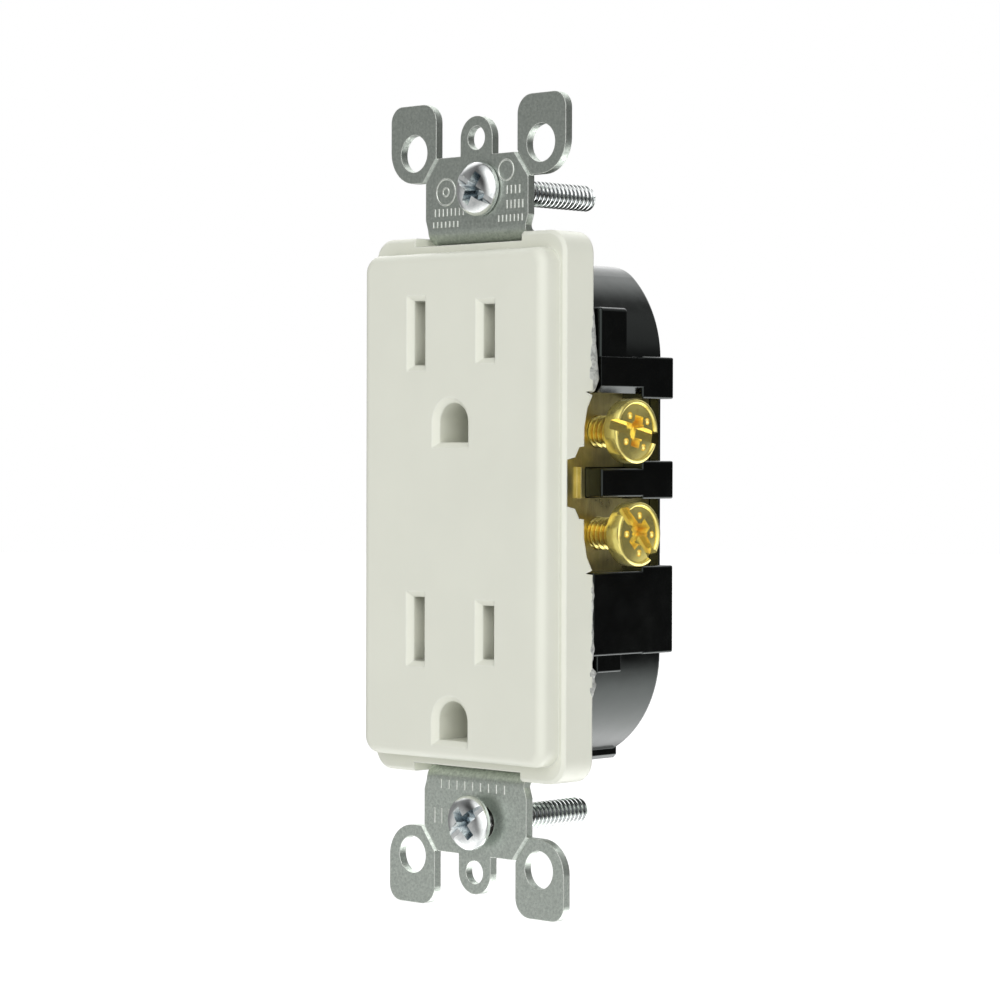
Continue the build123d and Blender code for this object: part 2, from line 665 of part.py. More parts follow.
def terminal_screw(side, z, out, turn):
    """Side screw, backed out from its terminal plate; turn sets the slot's angle."""
    screw = headed_screw(SCREW_HEAD_R, SCREW_HEAD_T, SCREW_R, SCREW_LENGTH, 0.45)
    origin = (side * (TERMINAL_X + out), SCREW_Y, z)
    seat = Plane(origin=origin, x_dir=(0, 1, 0), z_dir=(side, 0, 0))
    return seat * Rot(0, 0, turn) * screw


def ground_screw():
    """Hexagonal washer-head screw in the strap's side arm."""
    head = extrude(RegularPolygon(GROUND_HEX_ACROSS / 2, 6, major_radius=False), amount=2.6)
    washer = Pos(0, 0, 0.4) * Cylinder(SCREW_HEAD_R, 0.8)
    slot = Pos(0, 0, 2.6 - 0.5) * Box(10, 1.1, 1.0)
    shank = Pos(0, 0, -GROUND_SCREW_LENGTH / 2) * Cylinder(SCREW_R, GROUND_SCREW_LENGTH)
    shank = chamfer(shank.faces().sort_by(Axis.Z)[0].edges(), 0.35 * SCREW_R)
    origin = (GROUND_TAB_X - GROUND_SCREW_OUT, GROUND_SCREW_Y, GROUND_TAB_Z)
    seat = Plane(origin=origin, x_dir=(0, 1, 0), z_dir=(-1, 0, 0))
    return seat * Rot(0, 0, 25) * (head + washer - slot + shank)


def box_screw(end, forward, turn):
    """Captive screw that fastens the strap to the wall box, to one side in its slot."""
    screw = headed_screw(BOX_SCREW_HEAD_R, BOX_SCREW_HEAD_T, BOX_SCREW_R, BOX_SCREW_LENGTH, 1.1)
    neck_cut = Cylinder(BOX_SCREW_R + 1, BOX_SCREW_NECK) - Cylinder(BOX_SCREW_NECK_R, BOX_SCREW_NECK)
    screw -= Pos(0, 0, -BOX_SCREW_NECK / 2) * neck_cut
    origin = (BOX_SCREW_X, -STRAP_T - forward, end * BOX_SCREW_Z)
    seat = Plane(origin=origin, x_dir=(1, 0, 0), z_dir=(0, -1, 0))
    return seat * Rot(0, 0, turn) * screw


def retaining_washer(end, forward):
    """Fibre washer held in the screw's neck, behind the strap."""
    y_low = WASHER_BEHIND - forward
    ring = Circle(WASHER_R) - Circle(BOX_SCREW_NECK_R + SCREW_CLEARANCE)
    return slab(Pos(BOX_SCREW_X, end * BOX_SCREW_Z) * ring, y_low, y_low + WASHER_T)


# ---- Shutters --------------------------------------------------------------------
def shutter_slide(z):
    """Slide that blocks both blade slots, with a ramp under each of them."""
    low, high = SHUTTER_WINDOW
    front, rear = SHUTTER_FRONT_Y, SHUTTER_REAR_Y
    deep = front + SHUTTER_STEP
    slide = Part()
    for start, stop in ((SHUTTER_LEFT_X, low), (high, SHUTTER_RIGHT_X)):
        ramp = [(start, rear), (start, deep), (start + SHUTTER_RAMP, front), (stop, front), (stop, rear)]
        slide += upright_slab(polygon(ramp), z - SHUTTER_HALF_H, z + SHUTTER_HALF_H)
    for end in ENDS:
        rail_z = (z + end * SHUTTER_HALF_H, z + end * (SHUTTER_HALF_H - 0.8))
        slide += block((low - 0.5, high + 0.5), (deep, rear), rail_z)
    return slide


def shutter_frame(z):
    """Guide that holds one shutter slide behind the face."""
    half_h = SHUTTER_HALF_H + 1.3
    plate_front, plate_rear = FRAME_PLATE_Y
    frame = block((-9.4, FRAME_STOP_X + 0.7), FRAME_PLATE_Y, (z - half_h, z + half_h))
    for side in ENDS:
        window_x = (side * BLADE_X - 1.2, side * BLADE_X + 1.2)
        frame -= block(window_x, (plate_front - 1, plate_rear + 1), (z - 4.6, z + 4.6))
    wall_y = (FRAME_FRONT_Y, plate_front + 0.1)
    frame += block((FRAME_STOP_X, FRAME_STOP_X + 0.7), wall_y, (z - 2.2, z + 2.2))
    frame += block((-9.4, -8.6), wall_y, (z - half_h, z + half_h))
    for end in ENDS:
        rail_z = (z + end * (half_h - 1.0), z + end * half_h)
        frame += block((-9.4, FRAME_STOP_X), wall_y, rail_z)
        for side in ENDS:
            leg_x = (side * 3.9, side * 4.4)
            leg_z = (z + end * (half_h - 0.8), z + end * half_h)
            frame += block(leg_x, (plate_rear - 0.1, BODY_FRONT_Y), leg_z)
    return frame


def shutter_spring(z):
    """Coil spring that pushes the slide back over the slots."""
    gap = 0.1
    length = FRAME_STOP_X - SHUTTER_RIGHT_X - 2 * gap - 2 * SPRING_WIRE_R
    start = Vector(SHUTTER_RIGHT_X + gap + SPRING_WIRE_R, SPRING_Y, z)
    path = Helix(length / SPRING_TURNS, length, SPRING_R, center=start, direction=(1, 0, 0))
    section = Plane(origin=path @ 0, z_dir=path % 0) * Circle(SPRING_WIRE_R)
    return sweep(section, path=path, is_frenet=True)


# ---- Nodes -----------------------------------------------------------------------
def main():
    os.makedirs("parts", exist_ok=True)
    save(front_cover(), "front_cover")
    save(mounting_strap(), "mounting_strap")
    save(rear_body(), "rear_body")
    right_strip = right_contact_strip()
    save(right_strip, "hot_contact_strip")
    save(mirror(right_strip, about=Plane.YZ), "neutral_contact_strip")
    save(push_in_clips(1), "hot_push_in_clips")
    save(push_in_clips(-1), "neutral_push_in_clips")
    save(ground_rivets(), "ground_contact_rivets")
    save(ground_screw(), "ground_screw")
    turns = {"hot_screw": (15, 60), "neutral_screw": (80, -35)}
    for index, place in enumerate(("upper", "lower")):
        z = OUTLET_Z[index]
        end = ENDS[index]
        forward = BOX_SCREW_FORWARD[index]
        save(ground_contact(GROUND_Z[index], RIVET_Z[index]), "ground_contact_" + place)
        save(shutter_slide(z), "shutter_slide_" + place)
        save(shutter_frame(z), "shutter_frame_" + place)
        save(shutter_spring(z), "shutter_spring_" + place)
        save(box_screw(end, forward, 35 + 20 * index), "box_screw_" + place)
        save(retaining_washer(end, forward), "retaining_washer_" + place)
        for side, screw in ((1, "hot_screw"), (-1, "neutral_screw")):
            shape = terminal_screw(side, SCREW_Z[index], SCREW_OUT[index], turns[screw][index])
            save(shape, screw + "_" + place)


main()
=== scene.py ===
import json
from math import cos, pi, radians, sin
from random import Random

import bmesh
import bpy
from mathutils import Matrix, Vector


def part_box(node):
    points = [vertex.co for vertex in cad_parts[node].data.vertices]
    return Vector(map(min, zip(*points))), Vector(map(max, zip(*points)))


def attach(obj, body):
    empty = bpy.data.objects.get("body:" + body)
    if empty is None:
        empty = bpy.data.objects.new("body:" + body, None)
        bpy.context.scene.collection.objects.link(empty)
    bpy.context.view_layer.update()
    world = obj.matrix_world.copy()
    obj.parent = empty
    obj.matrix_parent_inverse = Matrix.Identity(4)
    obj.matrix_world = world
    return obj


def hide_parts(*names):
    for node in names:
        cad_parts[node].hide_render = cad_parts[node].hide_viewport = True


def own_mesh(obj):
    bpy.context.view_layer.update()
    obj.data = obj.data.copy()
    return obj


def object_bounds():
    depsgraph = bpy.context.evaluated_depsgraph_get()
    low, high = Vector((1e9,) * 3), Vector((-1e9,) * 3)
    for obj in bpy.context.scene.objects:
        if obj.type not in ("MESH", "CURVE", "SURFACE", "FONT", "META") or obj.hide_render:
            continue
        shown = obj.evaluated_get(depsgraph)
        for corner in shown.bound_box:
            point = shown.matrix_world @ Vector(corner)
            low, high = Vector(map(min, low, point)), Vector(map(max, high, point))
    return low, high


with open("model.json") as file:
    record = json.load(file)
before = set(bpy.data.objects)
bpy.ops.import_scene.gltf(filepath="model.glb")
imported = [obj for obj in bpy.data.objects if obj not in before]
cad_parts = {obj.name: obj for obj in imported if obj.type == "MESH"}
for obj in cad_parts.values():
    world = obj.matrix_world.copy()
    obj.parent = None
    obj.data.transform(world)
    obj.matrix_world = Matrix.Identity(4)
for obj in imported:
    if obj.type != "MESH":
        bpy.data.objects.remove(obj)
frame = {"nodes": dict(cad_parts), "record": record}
cad_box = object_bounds()

MM = 0.001
PLACES = ("upper", "lower")

# ---- Camera, floor and light ----------------------------------------------------
CAMERA_AZIMUTH = radians(44.02)
CAMERA_ELEVATION = radians(0.9)
CAMERA_ROLL = radians(0.15)
CAMERA_DISTANCE = 0.41244
CAMERA_LENS = 112.4
CAMERA_SHIFT = (0.0183, 0.0058)
CAMERA_SENSOR = 36
CAMERA_NEAR = 0.01
FLOOR_DROP = 0.045
FLOOR_R = 3.0
FLOOR_GLOW = 0.60
FLOOR_TONES = ((0.50, 0.50, 0.50), (0.52, 0.52, 0.52))
BACKGROUND = 1.0
ROOM_LEVEL = 0.045
# Soft boxes in the room: direction, cosines where each fades out and is full, strength.
SOFT_BOXES = (
    ((0.0, -0.05, 1.0), 0.25, 0.85, 0.13),
    ((0.25, -0.62, 0.75), 0.70, 0.96, 0.76),
    ((-0.40, 0.68, 0.68), 0.72, 0.96, 1.85),
    ((0.60, 0.72, 0.42), 0.93, 0.995, 0.35),
    ((0.0, 0.0, -1.0), 0.25, 0.85, 1.10),
    ((0.20, 0.72, -0.62), 0.75, 0.955, 2.05),
    ((0.72, -0.68, 0.22), 0.45, 0.92, 1.18),
    ((-0.65, -0.68, -0.42), 0.70, 0.95, 0.44),
    ((-1.0, 0.0, 0.1), 0.55, 0.90, 0.20),
    ((-0.70, 0.05, 0.70), 0.85, 0.98, 0.95),
    ((-0.70, 0.05, -0.70), 0.85, 0.98, 0.80),
    ((1.0, -0.25, 0.35), 0.72, 0.95, 0.27),
)

# ---- Screws: heads above z = 0, shanks below it (millimetres) ----------------------
THREAD_PITCH = 0.794
# One thread turn: share of the pitch, and height from root (0) to crest (1).
THREAD_FORM = ((0.0, 0.0), (0.14, 0.0), (0.42, 1.0), (0.58, 1.0), (0.86, 0.0))
THREAD_RISE = 1.3
TIP_BEVEL = 1.1
TIP_STEP = 0.25
TERMINAL_SIDES = 72
TERMINAL_HEAD_R = 4.2
TERMINAL_HEAD_T = 2.4
TERMINAL_RIM = 0.62
TERMINAL_DOME = 0.24
TERMINAL_SHANK_R = 2.1
TERMINAL_ROOT_R = 1.62
TERMINAL_NECK_R = TERMINAL_ROOT_R + 0.2
TERMINAL_NECK_Z = -0.25
TERMINAL_TIP_Z = -6.9
DIMPLE_R = 0.46
DIMPLE_CIRCLE_R = 2.45
BOX_SIDES = 64
BOX_HEAD_R = 3.66
BOX_HEAD_T = 1.9
BOX_RIM_T = 0.45
BOX_SHANK_R = 1.75
BOX_ROOT_R = 1.33
BOX_NECK_R = 1.55
BOX_NECK = 5.4
BOX_LENGTH = 21.4
HEX_ACROSS = 7.6
HEX_T = 2.6
HEX_WASHER_T = 0.8
HEX_TIP_Z = -5.6
HEX_TURN = 25
SEAT_GAP = 0.02
CUT_OVER = 0.1
SHARP_ANGLE = 26
# How far each slot is turned from level, in degrees.
SCREW_TURNS = {
    "hot_screw_upper": -12.5,
    "hot_screw_lower": -46.5,
    "neutral_screw_upper": 20,
    "neutral_screw_lower": 65,
    "box_screw_upper": -32,
    "box_screw_lower": 38,
}


# ---- Node materials ---------------------------------------------------------------
class Finish:
    """One procedural material, built around a Principled shader."""

    def __init__(self, name, metallic=0.0, roughness=0.5, colour=(0.5, 0.5, 0.5)):
        self.material = bpy.data.materials.new(name)
        self.material.use_nodes = True
        self.tree = self.material.node_tree
        self.shader = self.tree.nodes["Principled BSDF"]
        self.shader.inputs["Metallic"].default_value = metallic
        self.shader.inputs["Roughness"].default_value = roughness
        self.shader.inputs["Base Color"].default_value = (*colour, 1)
        self.place = self.tree.nodes.new("ShaderNodeTexCoord").outputs["Object"]

    def node(self, kind, settings=None, **inputs):
        node = self.tree.nodes.new(kind)
        for key, value in (settings or {}).items():
            setattr(node, key, value)
        for key, value in inputs.items():
            self.feed(node.inputs[key.replace("_", " ")], value)
        return node

    def feed(self, socket, value):
        if isinstance(value, bpy.types.NodeSocket):
            self.tree.links.new(value, socket)
        else:
            socket.default_value = value

    def stretched(self, x, y, z):
        """Object coordinates scaled per axis, for grain that runs one way."""
        return self.node("ShaderNodeMapping", Vector=self.place, Scale=(x, y, z)).outputs[0]

    def noise(self, size, detail=2.0, rough=0.5, twist=0.0, place=None):
        """Noise whose features are about size millimetres across."""
        node = self.node("ShaderNodeTexNoise", Vector=place or self.place, Detail=detail)
        self.feed(node.inputs["Scale"], 1 / (size * MM))
        self.feed(node.inputs["Roughness"], rough)
        self.feed(node.inputs["Distortion"], twist)
        return node.outputs["Fac"]

    def cells(self, size):
        """Flat random cells about size millimetres across."""
        node = self.node("ShaderNodeTexVoronoi", Vector=self.place, Scale=1 / (size * MM))
        split = self.node("ShaderNodeSeparateColor", Color=node.outputs["Color"])
        return split.outputs[0]

    def height(self):
        """Height above the piece's own origin, in metres."""
        return self.node("ShaderNodeSeparateXYZ", Vector=self.place).outputs["Z"]

    def span(self, value, low, high, out_low=0.0, out_high=1.0):
        """Value rescaled from low..high to out_low..out_high, and clamped."""
        node = self.node("ShaderNodeMapRange", Value=value)
        for socket, number in zip(node.inputs[1:5], (low, high, out_low, out_high)):
            socket.default_value = number
        return node.outputs[0]

    def mix(self, share, first, second):
        node = self.node("ShaderNodeMix", {"data_type": "RGBA"})
        for slot, value in ((0, share), (6, first), (7, second)):
            self.feed(node.inputs[slot], (*value, 1) if isinstance(value, tuple) else value)
        return node.outputs[2]

    def math(self, operation, first, second=0.0):
        node = self.node("ShaderNodeMath", {"operation": operation})
        self.feed(node.inputs[0], first)
        self.feed(node.inputs[1], second)
        return node.outputs[0]

    def soft_edges(self, radius):
        """Normal rounded over edges, and a mask that is 1 on them; radius in millimetres."""
        bevel = self.node("ShaderNodeBevel", {"samples": 6}, Radius=radius * MM)
        true_normal = self.node("ShaderNodeNewGeometry").outputs["Normal"]
        dot = self.node("ShaderNodeVectorMath", {"operation": "DOT_PRODUCT"})
        self.feed(dot.inputs[0], bevel.outputs[0])
        self.feed(dot.inputs[1], true_normal)
        return bevel.outputs[0], self.span(dot.outputs["Value"], 0.995, 0.93)

    def openness(self, reach, closed, clear, alone=True):
        """1 on open surfaces, 0 down in slots; alone takes no account of other pieces."""
        settings = {"samples": 8, "only_local": alone}
        node = self.node("ShaderNodeAmbientOcclusion", settings, Distance=reach * MM)
        return self.span(node.outputs["AO"], closed, clear)

    def bump(self, height, distance, strength=1.0, normal=None):
        """Bump of that depth in millimetres; returns its normal."""
        node = self.node("ShaderNodeBump", Height=height, Distance=distance * MM, Strength=strength)
        if normal is not None:
            self.feed(node.inputs["Normal"], normal)
        return node.outputs[0]

    def set(self, **values):
        for key, value in values.items():
            self.feed(self.shader.inputs[key.replace("_", " ")], value)
        return self.material


def moulded_plastic(
    name, colour, shade, roughness, edge_radius,
    edge_highlight=None, grain=0.006, wave=0.012, recess_shade=None, tint=None,
):
    """Moulded plastic: cloudy tone, fine grain, slight waves, handled patches, soft edges; optional
    painted highlight on the edges and painted shade in recesses.
    """
    finish = Finish(name, colour=colour)
    cloud = finish.noise(9.0, 3.0)
    speck = finish.noise(0.35, 2.0)
    tone = finish.mix(finish.span(cloud, 0.35, 0.65), colour, shade)
    tone = finish.mix(finish.span(speck, 0.62, 0.80, 0.0, 0.25), tone, shade)
    # Painted shade: surfaces down in slots, holes and inside corners are mixed towards a darker
    # colour.
    if recess_shade:
        tone = finish.mix(finish.openness(2.6, 0.22, 0.56), recess_shade, tone)
    normal, edge = finish.soft_edges(edge_radius)
    # Painted highlight: the rounded edges are mixed towards a lighter colour.
    if edge_highlight:
        tone = finish.mix(finish.math("MULTIPLY", edge, 0.6), tone, edge_highlight)
    rub = finish.noise(3.0, 4.0, 0.6)
    low, high = roughness
    gloss = finish.span(rub, 0.35, 0.7, low, high)
    normal = finish.bump(finish.noise(0.12, 2.0), grain, normal=normal)
    normal = finish.bump(finish.noise(2.6, 1.0), wave, normal=normal)
    if tint:
        finish.set(Specular_Tint=(*tint, 1))
    return finish.set(Base_Color=tone, Roughness=gloss, Normal=normal)


def plated_sheet(name, light, dark, roughness, edge_highlight, contact_shadow=None, top_shade=None):
    """Plated sheet metal: mottled crystals, drawn grain, scuffs and lighter sheared edges,
    partly bare cut metal and partly painted highlight; optional painted shadow where
    it meets other pieces.

    The last argument paints shade towards the top. It is (height, share): the share of
    black mixed in at that height above the origin, which fades to none as far below it.
    """
    finish = Finish(name, metallic=0.95, colour=light)
    mottle = finish.noise(0.40, 4.0, 0.65, 0.6)
    crystals = finish.cells(0.5)
    drawn = finish.noise(1.0, 3.0, 0.6, place=finish.stretched(0.15, 1.0, 2.5))
    tone = finish.mix(finish.span(mottle, 0.36, 0.66), dark, light)
    tone = finish.mix(finish.math("MULTIPLY", crystals, 0.22), tone, dark)
    tone = finish.mix(finish.span(drawn, 0.60, 0.75, 0.0, 0.3), tone, light)
    # Painted shade: black is mixed in, more of it higher up the piece.
    if top_shade:
        reach, share = top_shade
        top_darkening = finish.span(finish.height(), -reach * MM, reach * MM, 0.0, share)
        tone = finish.mix(top_darkening, tone, (0.0, 0.0, 0.0))
    normal, edge = finish.soft_edges(0.16)
    # Lighter edges: partly bare sheared metal, partly painted highlight.
    tone = finish.mix(finish.math("MULTIPLY", edge, 0.75), tone, edge_highlight)
    # Painted shadow: where the piece nears other pieces it is mixed towards a dark colour.
    if contact_shadow:
        tone = finish.mix(finish.openness(0.45, 0.15, 0.50, alone=False), contact_shadow, tone)
    low, high = roughness
    gloss = finish.span(mottle, 0.3, 0.7, high, low)
    normal = finish.bump(finish.noise(0.22, 3.0, 0.7), 0.012, normal=normal)
    normal = finish.bump(drawn, 0.01, 0.6, normal=normal)
    return finish.set(Base_Color=tone, Roughness=gloss, Normal=normal)


def bright_metal(
    name, light, dark, roughness, tarnish=None, edge_radius=0.0, recess_shade=None, metallic=1.0
):
    """Turned and plated metal: fine turning marks, small stains, uneven gloss; optional painted
    shade in recesses.
    """
    finish = Finish(name, metallic=metallic, colour=light)
    stain = finish.noise(0.9, 4.0, 0.6, 0.4)
    fine = finish.noise(0.16, 2.0)
    tone = finish.mix(finish.span(stain, 0.42, 0.72), light, dark)
    if tarnish:
        spots = finish.noise(1.7, 3.0, 0.7)
        tone = finish.mix(finish.span(spots, 0.60, 0.78, 0.0, 0.7), tone, tarnish)
    # Painted shade in recesses: slots and crosses are mixed towards a darker colour, on brass a
    # warm one standing for inner reflections.
    if recess_shade:
        tone = finish.mix(finish.openness(1.5, 0.33, 0.66), recess_shade, tone)
    low, high = roughness
    gloss = finish.span(stain, 0.3, 0.7, low, high)
    normal = finish.soft_edges(edge_radius)[0] if edge_radius else None
    normal = finish.bump(fine, 0.0018, normal=normal)
    return finish.set(Base_Color=tone, Roughness=gloss, Normal=normal)


def rolled_brass(name, light, dark, olive):
    """Stamped strip as rolled: grain along its length, olive tarnish and handling marks."""
    finish = Finish(name, metallic=1.0, colour=light)
    grain = finish.noise(0.35, 4.0, 0.6, place=finish.stretched(1.0, 1.0, 0.12))
    patch = finish.noise(2.4, 4.0, 0.6, 0.5)
    tone = finish.mix(finish.span(grain, 0.35, 0.7), dark, light)
    tone = finish.mix(finish.span(patch, 0.42, 0.66, 0.0, 0.75), tone, olive)
    normal, edge = finish.soft_edges(0.14)
    tone = finish.mix(finish.math("MULTIPLY", edge, 0.5), tone, light)
    gloss = finish.span(patch, 0.3, 0.7, 0.26, 0.46)
    normal = finish.bump(grain, 0.012, normal=normal)
    return finish.set(Base_Color=tone, Roughness=gloss, Normal=normal)


def pressed_fibre(name, light, dark):
    """Pressed fibre: matted strands and a dry surface."""
    finish = Finish(name, colour=dark)
    strands = finish.noise(0.3, 5.0, 0.7, 2.5)
    tone = finish.mix(finish.span(strands, 0.35, 0.65), dark, light)
    normal = finish.bump(strands, 0.04, normal=finish.soft_edges(0.1)[0])
    gloss = finish.span(strands, 0.3, 0.7, 0.95, 0.7)
    return finish.set(Base_Color=tone, Roughness=gloss, Normal=normal)


def clear_flash(name):
    """Squeezed-out weld flash: milky, slightly glossy, with grey folds."""
    finish = Finish(name, roughness=0.3)
    fold = finish.noise(0.8, 3.0, 0.6, 0.8)
    tone = finish.mix(finish.span(fold, 0.40, 0.68), (0.56, 0.57, 0.54), (0.20, 0.21, 0.20))
    normal = finish.bump(finish.noise(0.3, 3.0, 0.6), 0.06)
    gloss = finish.span(fold, 0.3, 0.7, 0.2, 0.5)
    return finish.set(Base_Color=tone, Roughness=gloss, Normal=normal)


# Maker and looks of each finish; colours are linear, sizes are millimetres.
FINISHES = {
    "cover_plastic": (moulded_plastic, {
        "colour": (0.770, 0.782, 0.684),
        "shade": (0.752, 0.764, 0.668),
        "roughness": (0.34, 0.48),
        "edge_radius": 0.35,
        # Painted highlight on the edges, and painted shade down in slots and creases:
        "edge_highlight": (0.87, 0.88, 0.80),
        "recess_shade": (0.16, 0.165, 0.12),
    }),
    "black_plastic": (moulded_plastic, {
        "colour": (0.0022, 0.0022, 0.0022),
        "shade": (0.0034, 0.0034, 0.0032),
        "roughness": (0.12, 0.22),
        "edge_radius": 0.12,
        # Painted highlight on the edges:
        "edge_highlight": (0.004, 0.004, 0.004),
        "grain": 0.002,
        "wave": 0.016,
        "tint": (0.88, 1.0, 0.95),
    }),
    "shutter_plastic": (moulded_plastic, {
        "colour": (0.50, 0.49, 0.43),
        "shade": (0.45, 0.44, 0.39),
        "roughness": (0.4, 0.6),
        "edge_radius": 0.15,
    }),
    "frame_plastic": (moulded_plastic, {
        "colour": (0.34, 0.34, 0.33),
        "shade": (0.30, 0.30, 0.29),
        "roughness": (0.45, 0.6),
        "edge_radius": 0.15,
    }),
    "zinc_steel": (plated_sheet, {
        "light": (0.73, 0.79, 0.72),
        "dark": (0.50, 0.55, 0.50),
        "roughness": (0.34, 0.50),
        # Lighter edges (partly painted highlight), painted shadow where it meets other pieces,
        # painted shade towards the top:
        "edge_highlight": (0.80, 0.82, 0.77),
        "contact_shadow": (0.04, 0.045, 0.04),
        "top_shade": (38.0, 0.26),
    }),
    "stamped_steel": (plated_sheet, {
        "light": (0.82, 0.84, 0.80),
        "dark": (0.60, 0.64, 0.58),
        "roughness": (0.30, 0.45),
        "edge_highlight": (0.9, 0.9, 0.87),
    }),
    "plated_strip": (plated_sheet, {
        "light": (0.72, 0.70, 0.65),
        "dark": (0.52, 0.50, 0.46),
        "roughness": (0.3, 0.45),
        "edge_highlight": (0.85, 0.83, 0.8),
    }),
    "brass_strip": (rolled_brass, {
        "light": (0.80, 0.70, 0.33),
        "dark": (0.66, 0.56, 0.25),
        "olive": (0.58, 0.52, 0.21),
    }),
    "contact_bronze": (rolled_brass, {
        "light": (0.72, 0.50, 0.30),
        "dark": (0.42, 0.27, 0.14),
        "olive": (0.36, 0.26, 0.15),
    }),
    "brass_screw": (bright_metal, {
        "light": (1.00, 0.87, 0.29),
        "dark": (0.95, 0.80, 0.23),
        "roughness": (0.14, 0.25),
        "tarnish": (0.76, 0.50, 0.15),
        # Painted shade and inner reflection in the recesses:
        "recess_shade": (0.86, 0.56, 0.14),
        "metallic": 0.80,
    }),
    "nickel_screw": (bright_metal, {
        "light": (0.78, 0.77, 0.73),
        "dark": (0.62, 0.61, 0.58),
        "roughness": (0.14, 0.26),
    }),
    "zinc_screw": (bright_metal, {
        "light": (0.86, 0.88, 0.87),
        "dark": (0.70, 0.73, 0.73),
        "roughness": (0.10, 0.20),
        # Painted shade in the recesses:
        "recess_shade": (0.42, 0.47, 0.50),
    }),
    "green_screw": (bright_metal, {
        "light": (0.10, 0.46, 0.20),
        "dark": (0.05, 0.30, 0.12),
        "roughness": (0.20, 0.34),
    }),
    "spring_steel": (bright_metal, {
        "light": (0.62, 0.62, 0.63),
        "dark": (0.45, 0.45, 0.46),
        "roughness": (0.2, 0.35),
        "edge_radius": 0.08,
    }),
    "rivet_steel": (bright_metal, {
        "light": (0.64, 0.64, 0.62),
        "dark": (0.48, 0.48, 0.46),
        "roughness": (0.25, 0.4),
        "edge_radius": 0.2,
    }),
    "washer_fibre": (pressed_fibre, {
        "light": (0.055, 0.045, 0.038),
        "dark": (0.018, 0.015, 0.013),
    }),
    "weld_flash": (clear_flash, {}),
}
materials = {name: make(name, **looks) for name, (make, looks) in FINISHES.items()}


def dress_cad_nodes():
    """Give every CAD node the material of its slot in the record."""
    for part in frame["record"]["subparts"]:
        node = frame["nodes"][part["node"]]
        node.data.materials.clear()
        node.data.materials.append(materials[part["material_slot"]])


# ---- Mesh helpers -------------------------------------------------------------------
def new_object(name, mesh):
    obj = bpy.data.objects.new(name, mesh)
    bpy.context.collection.objects.link(obj)
    return obj


def finished_mesh(bm, name, sharp=32):
    """Close and clean a mesh drawn in millimetres, with smooth faces and sharp corners."""
    bmesh.ops.remove_doubles(bm, verts=bm.verts, dist=1e-4)
    bmesh.ops.dissolve_degenerate(bm, edges=bm.edges, dist=1e-5)
    bmesh.ops.recalc_face_normals(bm, faces=bm.faces)
    mesh = bpy.data.meshes.new(name)
    bm.to_mesh(mesh)
    bm.free()
    mesh.shade_smooth()
    mesh.set_sharp_from_angle(angle=radians(sharp))
    return mesh


def scaled_object(bm, name, material, sharp=32):
    """Object in metres, in one material, from a mesh drawn in millimetres."""
    mesh = finished_mesh(bm, name, sharp)
    mesh.transform(Matrix.Scale(MM, 4))
    mesh.materials.append(materials[material])
    return new_object(name, mesh)


def add_rings(bm, rings):
    """Join rings of points, each with as many points as the next, by quads."""
    rows = [[bm.verts.new(point) for point in ring] for ring in rings]
    count = len(rows[0])
    for row, after in zip(rows, rows[1:]):
        for j in range(count):
            k = (j + 1) % count
            bm.faces.new((row[j], row[k], after[k], after[j]))
    return rows


def add_tube(bm, rings):
    """Join rings and close the first and the last one."""
    rows = add_rings(bm, rings)
    bm.faces.new(rows[0])
    bm.faces.new(rows[-1])


def circle(radius, z, count, radius_at=None):
    """Ring of points; radius_at(angle) may limit the radius, as on a hexagon."""
    points = []
    for j in range(count):
        angle = 2 * pi * j / count
        r = min(radius, radius_at(angle)) if radius_at else radius
        points.append((r * cos(angle), r * sin(angle), z))
    return points


def add_lathe(bm, profile, count):
    add_rings(bm, [circle(r, z, count) for r, z in profile])


def add_thread(bm, crest_r, root_r, start_r, z_top, z_tip, count):
    """Helical thread from a neck of radius start_r down to a bevelled tip."""
    steps = len(THREAD_FORM)
    tip_r = root_r - TIP_STEP
    turns = int((z_top - z_tip) / THREAD_PITCH) + 3
    rows = []
    for i in range((turns + 1) * steps + 1):
        share, height = THREAD_FORM[i % steps]
        row = []
        for j in range(count):
            z = z_top + THREAD_PITCH * (1 - i // steps - share - j / count)
            r = root_r + (crest_r - root_r) * height
            r = min(r, start_r + THREAD_RISE * (z_top - z), tip_r + TIP_BEVEL * (z - z_tip))
            if z >= z_top:
                z, r = z_top, start_r
            if z <= z_tip:
                z, r = z_tip, tip_r
            angle = 2 * pi * j / count
            row.append(bm.verts.new((r * cos(angle), r * sin(angle), z)))
        rows.append(row)
    for i in range(turns * steps):
        for j in range(count):
            k = (j + 1) % count
            down = steps if k == 0 else 0
            bm.faces.new((rows[i][j], rows[i + down][k], rows[i + 1 + down][k], rows[i + 1][j]))
    add_rings(bm, [circle(tip_r, z_tip, count), circle(0, z_tip, count)])


def add_terminal_thread(bm, z_tip):
    neck = TERMINAL_NECK_R, TERMINAL_NECK_Z
    add_thread(bm, TERMINAL_SHANK_R, TERMINAL_ROOT_R, *neck, z_tip, TERMINAL_SIDES)


def taper_block(name, top, bottom, z_top, z_bottom, turn=0.0):
    """Cutter with a rectangular top and a smaller rectangular bottom: half sizes (x, y)."""
    bm = bmesh.new()
    turned = Matrix.Rotation(radians(turn), 3, "Z")
    rings = []
    for (x, y), z in ((bottom, z_bottom), (top, z_top)):
        rings.append([turned @ Vector(p) for p in ((x, y, z), (-x, y, z), (-x, -y, z), (x, -y, z))])
    add_tube(bm, rings)
    return new_object(name, finished_mesh(bm, name))


